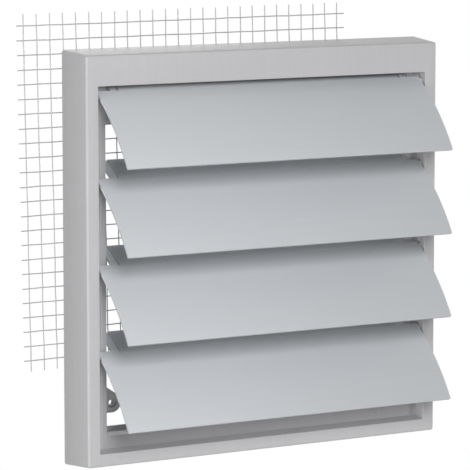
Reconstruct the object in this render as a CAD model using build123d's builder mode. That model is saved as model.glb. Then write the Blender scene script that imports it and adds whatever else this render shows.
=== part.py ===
"""Weather grille: a square moulded wall frame, four fixed curved slats and a welded wire bird guard."""

import os
from math import asin, atan, cos, degrees, radians, sin

from build123d import *

os.makedirs("parts", exist_ok=True)

# All sizes are in mm. The back of the frame stands on the wall at Y = 0 and the front faces -Y.
# X runs to the right and Z runs up from the middle of the four wall screws.

# Frame outline and wall thickness
front_width = 360.0
front_height = 360.0
frame_depth = 40.0
back_flare = 3.0  # the back is larger than the front by this much on every side
outer_corner_radius = 2.5
front_edge_radius = 2.0
wall = 2.5
frame_middle = 2.5  # the middle of the frame's height lies this far above the middle of the screws

# Front opening, and the web that stands back inside it
side_lip = 11.8
top_lip = 27.0
bottom_lip = 11.4
pocket_corner_radius = 0.8
lip_edge_radius = 0.8
web_setback = 12.0
sill_rise = 2.2
web_bead_inset = 19.0
web_bead_width = 1.2
web_bead_height = 0.8

# Air sleeve from the web to the wall, with a thin rim at its wall end
sleeve_side_inset = 24.4
sleeve_bottom_inset = 24.4
sleeve_top_inset = 12.0
rim_width = 4.0
guard_seat = 2.5  # the rim and the sleeve stop this far short of the wall

# Stiffening ribs in the hollow behind the lip
rib_count = 4
rib_pitch = 76.0
rib_thickness = 2.0
rib_setback = 6.0

# Screw ears at the wall end of the sleeve
screw_spacing_x = 278.0
screw_spacing_z = 256.0
screw_hole_radius = 2.4
screw_recess_radius = 4.5
screw_recess_depth = 2.0
ear_radius = 8.8
ear_thickness = 6.5
ear_root_rise = 22.0
top_ear_root_rise = 34.0

# Slats: each is a strip of a cylinder, steeper towards its lower edge
slat_count = 4
first_slat_drop = 38.0  # where the top slat passes the front of the frame, below its top edge
last_slat_rise = 94.0  # where the bottom slat passes it, above its bottom edge
slat_radius = 205.0
slat_thickness = 2.0
slat_behind = 31.0  # how far the upper edge reaches behind the front of the frame
slat_ahead = 49.2  # how far the lower edge reaches ahead of it
slat_slope = 38.1  # slope in degrees where it passes the front of the frame
slat_end_gap = 2.2
slat_corner_radius = 1.0

# Slat ends: an axle in the side wall, and a sprung tongue with a stud in the sleeve wall
shoulder_behind = 8.5
axle_radius = 3.0
axle_hole_clearance = 0.2
axle_reach = 0.8  # how far the axle shows past the side wall
tongue_gap = 3.2
tongue_width = 6.6
tongue_slot = 1.5
tongue_root = 8.0  # the slot stops this far behind the front of the frame
stud_radius = 1.6
stud_hole_clearance = 0.2
stud_behind = 25.0
stud_reach = 2.0

# Bird guard: welded wires, lying loose against the back and shifted up and to the left
wire_radius = 0.5
wire_sides = 8  # enough for wires this thin
wire_pitch = 12.7
upright_count = 26
crosswire_count = 24
top_stub = 10.2
bottom_stub = 9.4
left_stub = 6.0
right_stub = 8.1
guard_middle_x = -58.6
guard_middle_z = 61.8
upright_lean = 0.97  # degrees to the left: the mesh is a little out of square
crosswire_turn = 0.29  # degrees

# Values that follow from the sizes above
back_width = front_width + 2 * back_flare
back_height = front_height + 2 * back_flare
draft_angle = degrees(atan(back_flare / frame_depth))
back_plane = Plane(origin=(0, 0, frame_middle), x_dir=(1, 0, 0), z_dir=(0, -1, 0))

pocket_width = front_width - 2 * side_lip
pocket_height = front_height - top_lip - bottom_lip
pocket_middle = (bottom_lip - top_lip) / 2
pocket_floor = bottom_lip - front_height / 2
sill_height = frame_middle + pocket_floor
web_plane = back_plane.offset(frame_depth - web_setback)

sleeve_width = front_width - 2 * sleeve_side_inset
sleeve_height = front_height - sleeve_top_inset - sleeve_bottom_inset
sleeve_middle = (sleeve_bottom_inset - sleeve_top_inset) / 2
sleeve_top = front_height / 2 - sleeve_top_inset
seat_plane = back_plane.offset(guard_seat)

first_slat_height = frame_middle + front_height / 2 - first_slat_drop
slat_pitch = (front_height - first_slat_drop - last_slat_rise) / (slat_count - 1)
slat_heights = [first_slat_height - index * slat_pitch for index in range(slat_count)]
slat_centre_y = slat_radius * sin(radians(slat_slope)) - frame_depth
slat_centre_drop = slat_radius * cos(radians(slat_slope))
slat_half_width = pocket_width / 2 - slat_end_gap
tongue_outside = sleeve_width / 2 - tongue_gap
tongue_inside = tongue_outside - tongue_width


def slat_angle(ahead):
    """Slope of the slat in degrees, a distance ahead of the front of the frame."""
    return degrees(asin((slat_centre_y + frame_depth + ahead) / slat_radius))


def slat_point(ahead, depth):
    """Y, and Z above the slat's own height, of a point a depth under the slat's upper face."""
    angle = radians(slat_angle(ahead))
    reach = slat_radius - depth
    return slat_centre_y - reach * sin(angle), reach * cos(angle) - slat_centre_drop


axle_y, axle_rise = slat_point(axle_radius * cos(radians(slat_slope)) - shoulder_behind, axle_radius)
stud_y, stud_rise = slat_point(-stud_behind, slat_thickness / 2)


# Hollow of the frame: the space behind the lip and the web that is open to the wall
with BuildPart() as hollow:
    with BuildSketch(back_plane):
        Rectangle(back_width - 2 * wall, back_height - 2 * wall)
    extrude(amount=frame_depth - wall, taper=draft_angle)
    # The sleeve and the pocket keep their walls
    with BuildSketch(back_plane):
        with Locations((0, sleeve_middle)):
            Rectangle(sleeve_width + 2 * wall, sleeve_height + 2 * wall)
    extrude(amount=frame_depth, mode=Mode.SUBTRACT)
    pocket_block_bottom = pocket_floor - wall
    pocket_block_top = sleeve_top + wall
    with BuildSketch(back_plane.offset(frame_depth - web_setback - wall)):
        with Locations((0, (pocket_block_top + pocket_block_bottom) / 2)):
            Rectangle(pocket_width + 2 * wall, pocket_block_top - pocket_block_bottom)
    extrude(amount=web_setback + wall, mode=Mode.SUBTRACT)
    # Ribs are left standing across it
    with BuildSketch(back_plane.offset(rib_setback)):
        with GridLocations(rib_pitch, rib_pitch, 1, rib_count):
            Rectangle(back_width, rib_thickness)
        with GridLocations(rib_pitch, rib_pitch, rib_count, 1):
            Rectangle(rib_thickness, back_height)
    extrude(amount=frame_depth, mode=Mode.SUBTRACT)

with BuildPart() as frame:
    # Outer shell, flared towards the wall
    with BuildSketch(back_plane):
        Rectangle(back_width, back_height)
    extrude(amount=frame_depth, taper=draft_angle)
    front_edges = frame.faces().sort_by(Axis.Y)[0].edges()
    back_edges = frame.faces().sort_by(Axis.Y)[-1].edges()
    fillet(frame.edges() - front_edges - back_edges, radius=outer_corner_radius)
    fillet(frame.faces().sort_by(Axis.Y)[0].edges(), radius=front_edge_radius)

    # Air sleeve, which stops behind the deep top lip
    with BuildSketch(back_plane):
        with Locations((0, sleeve_middle)):
            Rectangle(sleeve_width, sleeve_height)
    extrude(amount=frame_depth - wall, mode=Mode.SUBTRACT)

    # Front pocket down to the web, its edge eased all round
    with BuildSketch(web_plane):
        with Locations((0, pocket_middle)):
            RectangleRounded(pocket_width, pocket_height, pocket_corner_radius)
    extrude(amount=web_setback, mode=Mode.SUBTRACT)
    front_face = frame.faces().sort_by(Axis.Y)[0]
    fillet(front_face.inner_wires()[0].edges(), radius=lip_edge_radius)

    # Hollow behind the lip and the web, and the seat that takes the bird guard
    add(hollow.part, mode=Mode.SUBTRACT)
    with BuildSketch(back_plane):
        Rectangle(back_width - 2 * wall, back_height - 2 * wall)
    extrude(amount=guard_seat, taper=draft_angle, mode=Mode.SUBTRACT)

    # Sloping sill that sheds water over the bottom lip
    with BuildSketch(Plane.YZ):
        sill_back = -frame_depth + web_setback
        sill_front = -frame_depth + lip_edge_radius
        with BuildLine():
            Polyline(
                (sill_front, sill_height),
                (sill_back, sill_height + sill_rise),
                (sill_back, sill_height - wall / 2),
                (sill_front, sill_height - wall / 2),
                close=True,
            )
        make_face()
    extrude(amount=pocket_width / 2, both=True)

    # Upright bead on the web at each side
    with BuildSketch(web_plane):
        with Locations((0, pocket_middle)):
            with GridLocations(front_width - 2 * web_bead_inset, wall, 2, 1):
                Rectangle(web_bead_width, pocket_height)
    extrude(amount=web_bead_height)

    # Rim at the wall end of the sleeve
    with BuildSketch(seat_plane):
        with Locations((0, sleeve_middle)):
            Rectangle(sleeve_width + wall, sleeve_height + wall)
            Rectangle(sleeve_width - 2 * rim_width, sleeve_height - 2 * rim_width, mode=Mode.SUBTRACT)
    extrude(amount=wall)

    # Screw ears, flat below and sloping above, each with a recessed hole
    for side in (-1, 1):
        for level, root_rise in ((-1, ear_root_rise), (1, top_ear_root_rise)):
            screw_x = side * screw_spacing_x / 2
            screw_z = level * screw_spacing_z / 2
            with BuildSketch(Plane.XZ):
                with Locations((screw_x, screw_z)):
                    Circle(ear_radius)
                with Locations((side * (sleeve_width + wall) / 2, screw_z + (root_rise - ear_radius) / 2)):
                    Rectangle(wall, root_rise + ear_radius)
                make_hull()
            extrude(amount=ear_thickness)
    with Locations(Plane.XZ.offset(ear_thickness)):
        with GridLocations(screw_spacing_x, screw_spacing_z, 2, 2):
            CounterBoreHole(screw_hole_radius, screw_recess_radius, screw_recess_depth)

    # Holes for the slats' axles in the side walls and for their studs in the sleeve walls
    with BuildSketch(Plane.YZ):
        with Locations(*[(axle_y, height + axle_rise) for height in slat_heights]):
            Circle(axle_radius + axle_hole_clearance)
    extrude(amount=pocket_width / 2 + wall, both=True, mode=Mode.SUBTRACT)
    with BuildSketch(Plane.YZ):
        with Locations(*[(stud_y, height + stud_rise) for height in slat_heights]):
            Circle(stud_radius + stud_hole_clearance)
    extrude(amount=sleeve_width / 2 + wall, both=True, mode=Mode.SUBTRACT)

frame.part.label = "frame"
export_step(frame.part, "parts/frame.step")


# Slats, all alike, one below the other
for number, height in enumerate(slat_heights, start=1):
    upper_angle = 90 + slat_angle(-slat_behind)
    lower_angle = 90 + slat_angle(slat_ahead)
    with BuildPart() as slat:
        # Curved strip as wide as the front opening
        with BuildSketch(Plane.YZ.offset(-slat_half_width)):
            with BuildLine():
                centre = (slat_centre_y, height - slat_centre_drop)
                upper_face = CenterArc(centre, slat_radius, upper_angle, lower_angle - upper_angle)
                under_face = CenterArc(centre, slat_radius - slat_thickness, upper_angle, lower_angle - upper_angle)
                Line(upper_face @ 0, under_face @ 0)
                Line(upper_face @ 1, under_face @ 1)
            make_face()
        extrude(amount=2 * slat_half_width)
        lower_edge = slat.faces().sort_by(Axis.Z)[0]
        fillet(lower_edge.edges().sort_by(Axis.X)[0], radius=slat_corner_radius)
        lower_edge = slat.faces().filter_by(GeomType.PLANE).sort_by(Axis.Z)[0]
        fillet(lower_edge.edges().sort_by(Axis.X)[-1], radius=slat_corner_radius)

        # Shoulders: above the axle the strip narrows to pass between the sleeve walls
        shoulder_back = slat_behind + slat_thickness
        shoulder_middle = -frame_depth + (shoulder_back + shoulder_behind) / 2
        for side in (-1, 1):
            with Locations((side * (tongue_outside + slat_half_width) / 2, shoulder_middle, height)):
                Box(
                    slat_half_width - tongue_outside,
                    shoulder_back - shoulder_behind,
                    slat_pitch,
                    mode=Mode.SUBTRACT,
                )
            # Slot that frees the tongue
            slot_middle = -frame_depth + (shoulder_back + tongue_root) / 2
            with Locations((side * (tongue_inside - tongue_slot / 2), slot_middle, height)):
                Box(tongue_slot, shoulder_back - tongue_root, slat_pitch, mode=Mode.SUBTRACT)
            # Axle along the shoulder and into the side wall
            axle_end = pocket_width / 2 + wall + axle_reach
            with BuildSketch(Plane.YZ.offset(side * tongue_outside)):
                with Locations((axle_y, height + axle_rise)):
                    Circle(axle_radius)
            extrude(amount=side * (axle_end - tongue_outside))
            # Stud on the tongue and into the sleeve wall
            stud_end = sleeve_width / 2 + stud_reach
            with BuildSketch(Plane.YZ.offset(side * (tongue_inside + tongue_width / 2))):
                with Locations((stud_y, height + stud_rise)):
                    Circle(stud_radius)
            extrude(amount=side * (stud_end - tongue_inside - tongue_width / 2))

    slat.part.label = f"slat_{number}"
    export_step(slat.part, f"parts/slat_{number}.step")


# Bird guard: upright wires against the back of the frame, crosswires welded behind them
upward = Vector(-sin(radians(upright_lean)), 0, cos(radians(upright_lean)))
across = Vector(cos(radians(crosswire_turn)), 0, sin(radians(crosswire_turn)))
guard_middle = Vector(guard_middle_x, 0, guard_middle_z)
half_height = (crosswire_count - 1) * wire_pitch / 2
half_width = (upright_count - 1) * wire_pitch / 2

with BuildPart() as uprights:
    lower_ends = guard_middle + Vector(0, wire_radius, 0) - upward * (half_height + bottom_stub)
    with BuildSketch(Plane(origin=lower_ends, x_dir=across, z_dir=across.cross(Vector(0, 1, 0)))):
        with GridLocations(wire_pitch, wire_pitch, upright_count, 1):
            RegularPolygon(wire_radius, wire_sides)
    extrude(amount=2 * half_height + bottom_stub + top_stub, dir=upward)

with BuildPart() as crosswires:
    left_ends = guard_middle + Vector(0, 3 * wire_radius, 0) - across * (half_width + left_stub)
    with BuildSketch(Plane(origin=left_ends, x_dir=upward, z_dir=Vector(0, 1, 0).cross(upward))):
        with GridLocations(wire_pitch, wire_pitch, crosswire_count, 1):
            RegularPolygon(wire_radius, wire_sides)
    extrude(amount=2 * half_width + left_stub + right_stub, dir=across)

bird_guard = Compound(label="bird_guard", children=[*uprights.part.solids(), *crosswires.part.solids()])
export_step(bird_guard, "parts/bird_guard.step")
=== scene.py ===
"""Weather grille: a moulded plastic frame with four curved slats and a loose wire bird guard behind it."""

import math
import random

import bmesh
import bpy
from mathutils import Matrix, Vector


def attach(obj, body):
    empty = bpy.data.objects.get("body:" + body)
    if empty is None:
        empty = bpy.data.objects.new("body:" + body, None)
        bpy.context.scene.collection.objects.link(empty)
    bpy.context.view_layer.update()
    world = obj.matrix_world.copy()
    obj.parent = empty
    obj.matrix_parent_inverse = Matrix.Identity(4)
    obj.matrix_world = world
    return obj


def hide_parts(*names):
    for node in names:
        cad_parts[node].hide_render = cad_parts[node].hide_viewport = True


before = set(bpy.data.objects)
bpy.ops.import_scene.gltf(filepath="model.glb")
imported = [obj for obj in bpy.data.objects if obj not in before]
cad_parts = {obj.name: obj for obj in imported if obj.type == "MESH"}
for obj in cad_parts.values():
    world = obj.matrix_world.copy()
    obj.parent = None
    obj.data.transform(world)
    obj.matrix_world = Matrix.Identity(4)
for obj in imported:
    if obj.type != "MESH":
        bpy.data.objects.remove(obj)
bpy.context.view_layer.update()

scene = bpy.context.scene


# Frame: one injection moulding in warm light-grey plastic, with a satin, finely grained skin.
# Its edges are eased as a moulded edge is; the faint upright streaks are flow lines in the plastic.

frame_colour = (0.474, 0.470, 0.480, 1.0)
frame_streaks = (420.0, 420.0, 9.0)
frame_streak_share = 0.09
frame_edge = 0.00035

plastic_tone = 0.985
plastic_roughness = 0.46
plastic_refraction = 1.46
streak_detail = 3.0
streak_roughness = 0.55
cloud_scale = 14.0
cloud_tone = 0.03
cloud_roughness = 0.04
grain_scale = 2600.0
grain_roughness = 0.06
grain_strength = 0.25
grain_depth = 0.00005
skin_detail = 2.0

merge_distance = 0.000002
flat_turn = math.radians(0.5)
sharp_turn = math.radians(40)
smooth_turn = math.radians(38)
easing_segments = 2


class Shade:
    """One socket of a material's nodes. Arithmetic on it adds Math nodes."""

    def __init__(self, tree, socket=None):
        self.tree = tree
        self.socket = socket

    def node(self, kind, settings, sockets, output=0):
        """Adds a node: its settings are made first, then its sockets get their values or links."""
        made = self.tree.nodes.new(kind)
        for name, value in settings.items():
            setattr(made, name, value)
        for name, value in sockets.items():
            if isinstance(value, Shade):
                self.tree.links.new(value.socket, made.inputs[name])
            else:
                made.inputs[name].default_value = value
        return Shade(self.tree, made.outputs[output])

    def maths(self, operation, first, second):
        return self.node("ShaderNodeMath", {"operation": operation}, {0: first, 1: second})

    def __add__(self, other):
        return self.maths("ADD", self, other)

    def __mul__(self, other):
        return self.maths("MULTIPLY", self, other)

    __radd__ = __add__
    __rmul__ = __mul__


def new_material(name):
    """A material with an empty node tree, and the start of its nodes."""
    material = bpy.data.materials.new(name)
    material.use_nodes = True
    material.node_tree.nodes.clear()
    return material, Shade(material.node_tree)


def end_nodes(shader, output_kind):
    """Ends a node tree: the shader goes to the surface of its output."""
    output = shader.tree.nodes.new(output_kind)
    shader.tree.links.new(shader.socket, output.inputs["Surface"])


def toned(nodes, colour, tone):
    """A colour times a tone that changes over the surface."""
    mix_share, first_colour, second_colour, mixed_colour = 0, 6, 7, 2
    return nodes.node(
        "ShaderNodeMix",
        {"data_type": "RGBA", "blend_type": "MULTIPLY"},
        {mix_share: 1.0, first_colour: colour, second_colour: tone},
        mixed_colour,
    )


def noise(nodes, place, scale, detail):
    """A soft random pattern with values round a half."""
    return nodes.node("ShaderNodeTexNoise", {}, {"Vector": place, "Scale": scale, "Detail": detail})


def moulded_plastic(name, colour, streak_stretch, streak_share):
    """Satin plastic: flow streaks along one direction, slow shifts of tone and a fine grain."""
    material, nodes = new_material(name)
    place = nodes.node("ShaderNodeTexCoord", {}, {}, "Object")
    along = nodes.node("ShaderNodeMapping", {}, {"Vector": place, "Scale": streak_stretch})
    streaks = nodes.node(
        "ShaderNodeTexNoise",
        {},
        {"Vector": along, "Scale": 1.0, "Detail": streak_detail, "Roughness": streak_roughness},
    )
    clouds = noise(nodes, place, cloud_scale, skin_detail)
    grain = noise(nodes, place, grain_scale, skin_detail)
    tone = (plastic_tone - streak_share / 2) + streak_share * streaks + cloud_tone * clouds
    skin = nodes.node(
        "ShaderNodeBump", {}, {"Strength": grain_strength, "Distance": grain_depth, "Height": grain}
    )
    plastic = nodes.node(
        "ShaderNodeBsdfPrincipled",
        {},
        {
            "Base Color": toned(nodes, colour, tone),
            "Roughness": plastic_roughness + cloud_roughness * clouds + grain_roughness * grain,
            "Normal": skin,
            "IOR": plastic_refraction,
        },
    )
    end_nodes(plastic, "ShaderNodeOutputMaterial")
    return material


def new_piece(name, mesh, material):
    """An object for a finished mesh, in one material."""
    mesh.materials.clear()
    mesh.materials.append(material)
    piece = bpy.data.objects.new(name, mesh)
    scene.collection.objects.link(piece)
    return piece


def ease_edges(shape, edges, width):
    """Rounds the given edges."""
    bmesh.ops.bevel(
        shape,
        geom=edges,
        offset=width,
        offset_type="OFFSET",
        segments=easing_segments,
        profile=0.5,
        affect="EDGES",
        clamp_overlap=True,
        material=-1,
    )


def sharp_edges(shape):
    """The edges of a closed shape that turn by more than a rounding's own facets do."""
    joined = [edge for edge in shape.edges if len(edge.link_faces) == 2]
    return [edge for edge in joined if edge.calc_face_angle() > sharp_turn]


def eased_copy(node, width, material):
    """A copy of a CAD node with its sharp edges eased."""
    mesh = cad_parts[node].data.copy()
    shape = bmesh.new()
    shape.from_mesh(mesh)
    bmesh.ops.remove_doubles(shape, verts=shape.verts, dist=merge_distance)
    bmesh.ops.dissolve_limit(
        shape, angle_limit=flat_turn, verts=shape.verts, edges=shape.edges, delimit={"NORMAL"}
    )
    ease_edges(shape, sharp_edges(shape), width)
    for face in shape.faces:
        face.smooth = True
    for edge in shape.edges:
        edge.smooth = edge.calc_face_angle(0.0) < smooth_turn
    shape.to_mesh(mesh)
    shape.free()
    piece = new_piece(node + "_eased", mesh, material)
    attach(piece, "root")
    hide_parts(node)
    return piece


frame_plastic = moulded_plastic("frame_plastic", frame_colour, frame_streaks, frame_streak_share)
moulding = eased_copy("frame", frame_edge, frame_plastic)


# Roots of the upper screw ears: part of the same moulding, carried on up to the top wall of the sleeve.
# They close the corners behind the ends of the top slat, where the photograph shows no light through.

ear_outside = 0.1556
ear_inside = 0.1302
ear_low = 0.1340
ear_high = 0.1712
ear_front = -0.0062
ear_back = -0.0003

root_shape = bmesh.new()
for side in (-1, 1):
    middle = Vector((side * (ear_outside + ear_inside), ear_front + ear_back, ear_low + ear_high)) / 2
    size = (ear_outside - ear_inside, ear_back - ear_front, ear_high - ear_low)
    bmesh.ops.create_cube(root_shape, size=1.0, matrix=Matrix.LocRotScale(middle, None, size))
ease_edges(root_shape, root_shape.edges[:], frame_edge)
for face in root_shape.faces:
    face.smooth = True
root_mesh = bpy.data.meshes.new("top_ear_roots")
root_shape.to_mesh(root_mesh)
root_shape.free()

ear_roots = new_piece("top_ear_roots", root_mesh, frame_plastic)
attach(ear_roots, "root")


# Slats: four alike curved blades, moulded in a light-grey plastic with a trace of blue.
# Each clips into the frame by an axle and a sprung tongue at both ends; streaks run along its length.

slat_count = 4
slat_colour = (0.530, 0.548, 0.569, 1.0)
slat_streaks = (6.0, 260.0, 260.0)
slat_streak_share = 0.05
slat_edge = 0.0004

slat_plastic = moulded_plastic("slat_plastic", slat_colour, slat_streaks, slat_streak_share)
for number in range(1, slat_count + 1):
    slat = eased_copy(f"slat_{number}", slat_edge, slat_plastic)


# Bird guard: half-inch welded mesh of galvanised wire, cut from a roll with side cutters.
# It lies loose against the back of the frame, a little out of square, each crossing spot-welded.

wire_radius = 0.0005
wire_sides = 8
wire_pitch = 0.0127
upright_count = 26
crosswire_count = 24
top_stub, bottom_stub, left_stub, right_stub = 0.0102, 0.0094, 0.0060, 0.0081
guard_middle = Vector((-0.0586, 0.0, 0.0618))
upright_lean = math.radians(0.97)
crosswire_turn = math.radians(0.29)
wire_stray = 0.00022
stray_seed = 7

# A weld runs through both layers of wire. Its profile gives the depth from the guard's front, in wire
# diameters, and the share of the weld's radius there.
weld_radius = 0.00075
weld_sides = 6
weld_profile = ((0.4, 0.55), (0.8, 1.0), (1.2, 1.0), (1.6, 0.55))

wire_colour = (0.40, 0.40, 0.40, 1.0)
zinc_tone = 0.62
zinc_metallic = 0.6
zinc_roughness = 0.42
spangle_scale = 900.0
spangle_detail = 3.0
spangle_tone = 0.5
spangle_roughness = 0.25
weather_scale = 45.0
weather_detail = 2.0
weather_tone = 0.25

front_layer = Vector((0.0, wire_radius, 0.0))
back_layer = Vector((0.0, 3 * wire_radius, 0.0))
upward = Vector((-math.sin(upright_lean), 0.0, math.cos(upright_lean)))
across = Vector((math.cos(crosswire_turn), 0.0, math.sin(crosswire_turn)))
stray = random.Random(stray_seed)
crossings = {}
for column in range(upright_count):
    for row in range(crosswire_count):
        middle = across * wire_pitch * (column - (upright_count - 1) / 2)
        middle += upward * wire_pitch * (row - (crosswire_count - 1) / 2)
        shift = Vector((stray.uniform(-1, 1), 0.0, stray.uniform(-1, 1))) * wire_stray
        crossings[column, row] = guard_middle + middle + shift


def add_rods(shape, name, radius, sides, runs):
    """Adds round rods to a shape, each along a run of points with a share of the radius at each point."""
    rods = bpy.data.curves.new(name, "CURVE")
    rods.dimensions = "3D"
    rods.bevel_depth = radius
    rods.bevel_resolution = (sides - 4) // 2
    rods.use_fill_caps = True
    for run in runs:
        spline = rods.splines.new("POLY")
        spline.points.add(len(run) - 1)
        for (place, share), spot in zip(run, spline.points):
            spot.co = (*place, 1.0)
            spot.radius = share
    carrier = bpy.data.objects.new(name, rods)
    mesh = bpy.data.meshes.new_from_object(carrier)
    shape.from_mesh(mesh)
    bpy.data.objects.remove(carrier)
    bpy.data.curves.remove(rods)
    bpy.data.meshes.remove(mesh)


wire_runs = []
for column in range(upright_count):
    points = [crossings[column, row] for row in range(crosswire_count)]
    points = [points[0] - upward * bottom_stub, *points, points[-1] + upward * top_stub]
    wire_runs.append([(point + front_layer, 1.0) for point in points])
for row in range(crosswire_count):
    points = [crossings[column, row] for column in range(upright_count)]
    points = [points[0] - across * left_stub, *points, points[-1] + across * right_stub]
    wire_runs.append([(point + back_layer, 1.0) for point in points])

weld_runs = []
for point in crossings.values():
    weld = [(point + front_layer.lerp(back_layer, depth - 0.5), share) for depth, share in weld_profile]
    weld_runs.append(weld)

guard_shape = bmesh.new()
add_rods(guard_shape, "guard_wires", wire_radius, wire_sides, wire_runs)
add_rods(guard_shape, "guard_welds", weld_radius, weld_sides, weld_runs)
bmesh.ops.recalc_face_normals(guard_shape, faces=guard_shape.faces)
for face in guard_shape.faces:
    face.smooth = len(face.verts) == 4
guard_mesh = bpy.data.meshes.new("bird_guard_wires")
guard_shape.to_mesh(guard_mesh)
guard_shape.free()

galvanised, nodes = new_material("galvanised_wire")
place = nodes.node("ShaderNodeTexCoord", {}, {}, "Object")
spangle = noise(nodes, place, spangle_scale, spangle_detail)
weather = noise(nodes, place, weather_scale, weather_detail)
zinc = nodes.node(
    "ShaderNodeBsdfPrincipled",
    {},
    {
        "Base Color": toned(nodes, wire_colour, zinc_tone + spangle_tone * spangle + weather_tone * weather),
        "Metallic": zinc_metallic,
        "Roughness": zinc_roughness + spangle_roughness * spangle,
    },
)
end_nodes(zinc, "ShaderNodeOutputMaterial")

bird_guard = new_piece("bird_guard_wires", guard_mesh, galvanised)
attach(bird_guard, "root")
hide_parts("bird_guard")


# Stage: the grille is held up as on a wall, well above a pale floor that fades into a white backdrop.
# A large softbox in front, above and to the left lights it, with weaker ones on the left, behind it and
# on the right, and a dim, even surround.

floor_height = -0.9
floor_radius = 2.5
floor_segments = 96
floor_colour = (0.86, 0.86, 0.86, 1.0)
fade_start = 0.3 * floor_radius
fade_end = 0.95 * floor_radius
backdrop_colour = (1.0, 1.0, 1.0, 1.0)
surround_level = 0.16


def seen_directly(nodes):
    """1 on the camera's rays and on mirrored and transmitted ones, 0 on those that carry soft light."""
    camera_ray = nodes.node("ShaderNodeLightPath", {}, {}, "Is Camera Ray")
    mirrored_ray = nodes.node("ShaderNodeLightPath", {}, {}, "Is Glossy Ray")
    through_ray = nodes.node("ShaderNodeLightPath", {}, {}, "Is Transmission Ray")
    return nodes.maths("MAXIMUM", nodes.maths("MAXIMUM", camera_ray, mirrored_ray), through_ray)


def softbox(name, place, size, power):
    """A square area light aimed at the middle of the grille."""
    light = bpy.data.lights.new(name, "AREA")
    light.size = size
    light.energy = power
    lamp = bpy.data.objects.new(name, light)
    lamp.location = place
    lamp.rotation_euler = (-Vector(place)).to_track_quat("-Z", "Y").to_euler()
    lamp.visible_camera = False
    scene.collection.objects.link(lamp)


floor_paint, nodes = new_material("floor_paint")
place = nodes.node("ShaderNodeTexCoord", {}, {}, "Object")
flat = nodes.node("ShaderNodeVectorMath", {"operation": "MULTIPLY"}, {0: place, 1: (1.0, 1.0, 0.0)})
reach = nodes.node("ShaderNodeVectorMath", {"operation": "LENGTH"}, {0: flat}, "Value")
fade = nodes.node(
    "ShaderNodeMapRange",
    {"interpolation_type": "SMOOTHSTEP"},
    {"Value": reach, "From Min": fade_start, "From Max": fade_end},
)
paint = nodes.node("ShaderNodeBsdfDiffuse", {}, {"Color": floor_colour})
white = nodes.node("ShaderNodeEmission", {}, {"Color": backdrop_colour, "Strength": 1.0})
ground = nodes.node("ShaderNodeMixShader", {}, {0: fade * seen_directly(nodes), 1: paint, 2: white})
end_nodes(ground, "ShaderNodeOutputMaterial")

floor_shape = bmesh.new()
floor_place = Matrix.Translation((0, 0, floor_height))
bmesh.ops.create_circle(
    floor_shape, cap_ends=True, segments=floor_segments, radius=floor_radius, matrix=floor_place
)
floor_mesh = bpy.data.meshes.new("floor")
floor_shape.to_mesh(floor_mesh)
floor_shape.free()
floor = new_piece("floor", floor_mesh, floor_paint)

world = bpy.data.worlds.new("white_surround")
world.use_nodes = True
world.node_tree.nodes.clear()
nodes = Shade(world.node_tree)
brightness = surround_level + (1 - surround_level) * seen_directly(nodes)
surround = nodes.node("ShaderNodeBackground", {}, {"Color": backdrop_colour, "Strength": brightness})
end_nodes(surround, "ShaderNodeOutputWorld")
scene.world = world

softbox("front_softbox", (-0.90, -3.30, 1.30), 1.4, 97.0)
softbox("left_softbox", (-2.9, -0.85, -0.3), 1.3, 33.0)
softbox("back_softbox", (0.5, 1.9, 1.0), 1.2, 12.0)
softbox("right_softbox", (2.0, 0.7, 0.3), 0.9, 14.0)


# Camera: a long lens to the left of the grille and a little above its middle, as in the photograph.
# It is aimed a little up and to the left of the frame's middle, to take in the guard's far corner.

camera_azimuth = math.radians(-30.06)
camera_elevation = math.radians(7.29)
camera_distance = 2.799
camera_lens = 237.3
sensor_width = 36.0
frame_middle = Vector((0.0, 0.0, 0.0025))
aim_right, aim_up = -0.0083, 0.0093

right = Vector((math.cos(camera_azimuth), math.sin(camera_azimuth), 0.0))
level_back = Vector((math.sin(camera_azimuth), -math.cos(camera_azimuth), 0.0))
back = level_back * math.cos(camera_elevation) + Vector((0.0, 0.0, math.sin(camera_elevation)))
up = back.cross(right)
camera_place = frame_middle + right * aim_right + up * aim_up + back * camera_distance
lens = bpy.data.cameras.new("camera")
lens.lens = camera_lens
lens.sensor_width = sensor_width
camera = bpy.data.objects.new("camera", lens)
camera.matrix_world = Matrix.Translation(camera_place) @ Matrix((right, up, back)).transposed().to_4x4()
scene.collection.objects.link(camera)
scene.camera = camera

scene.view_settings.view_transform = "Standard"
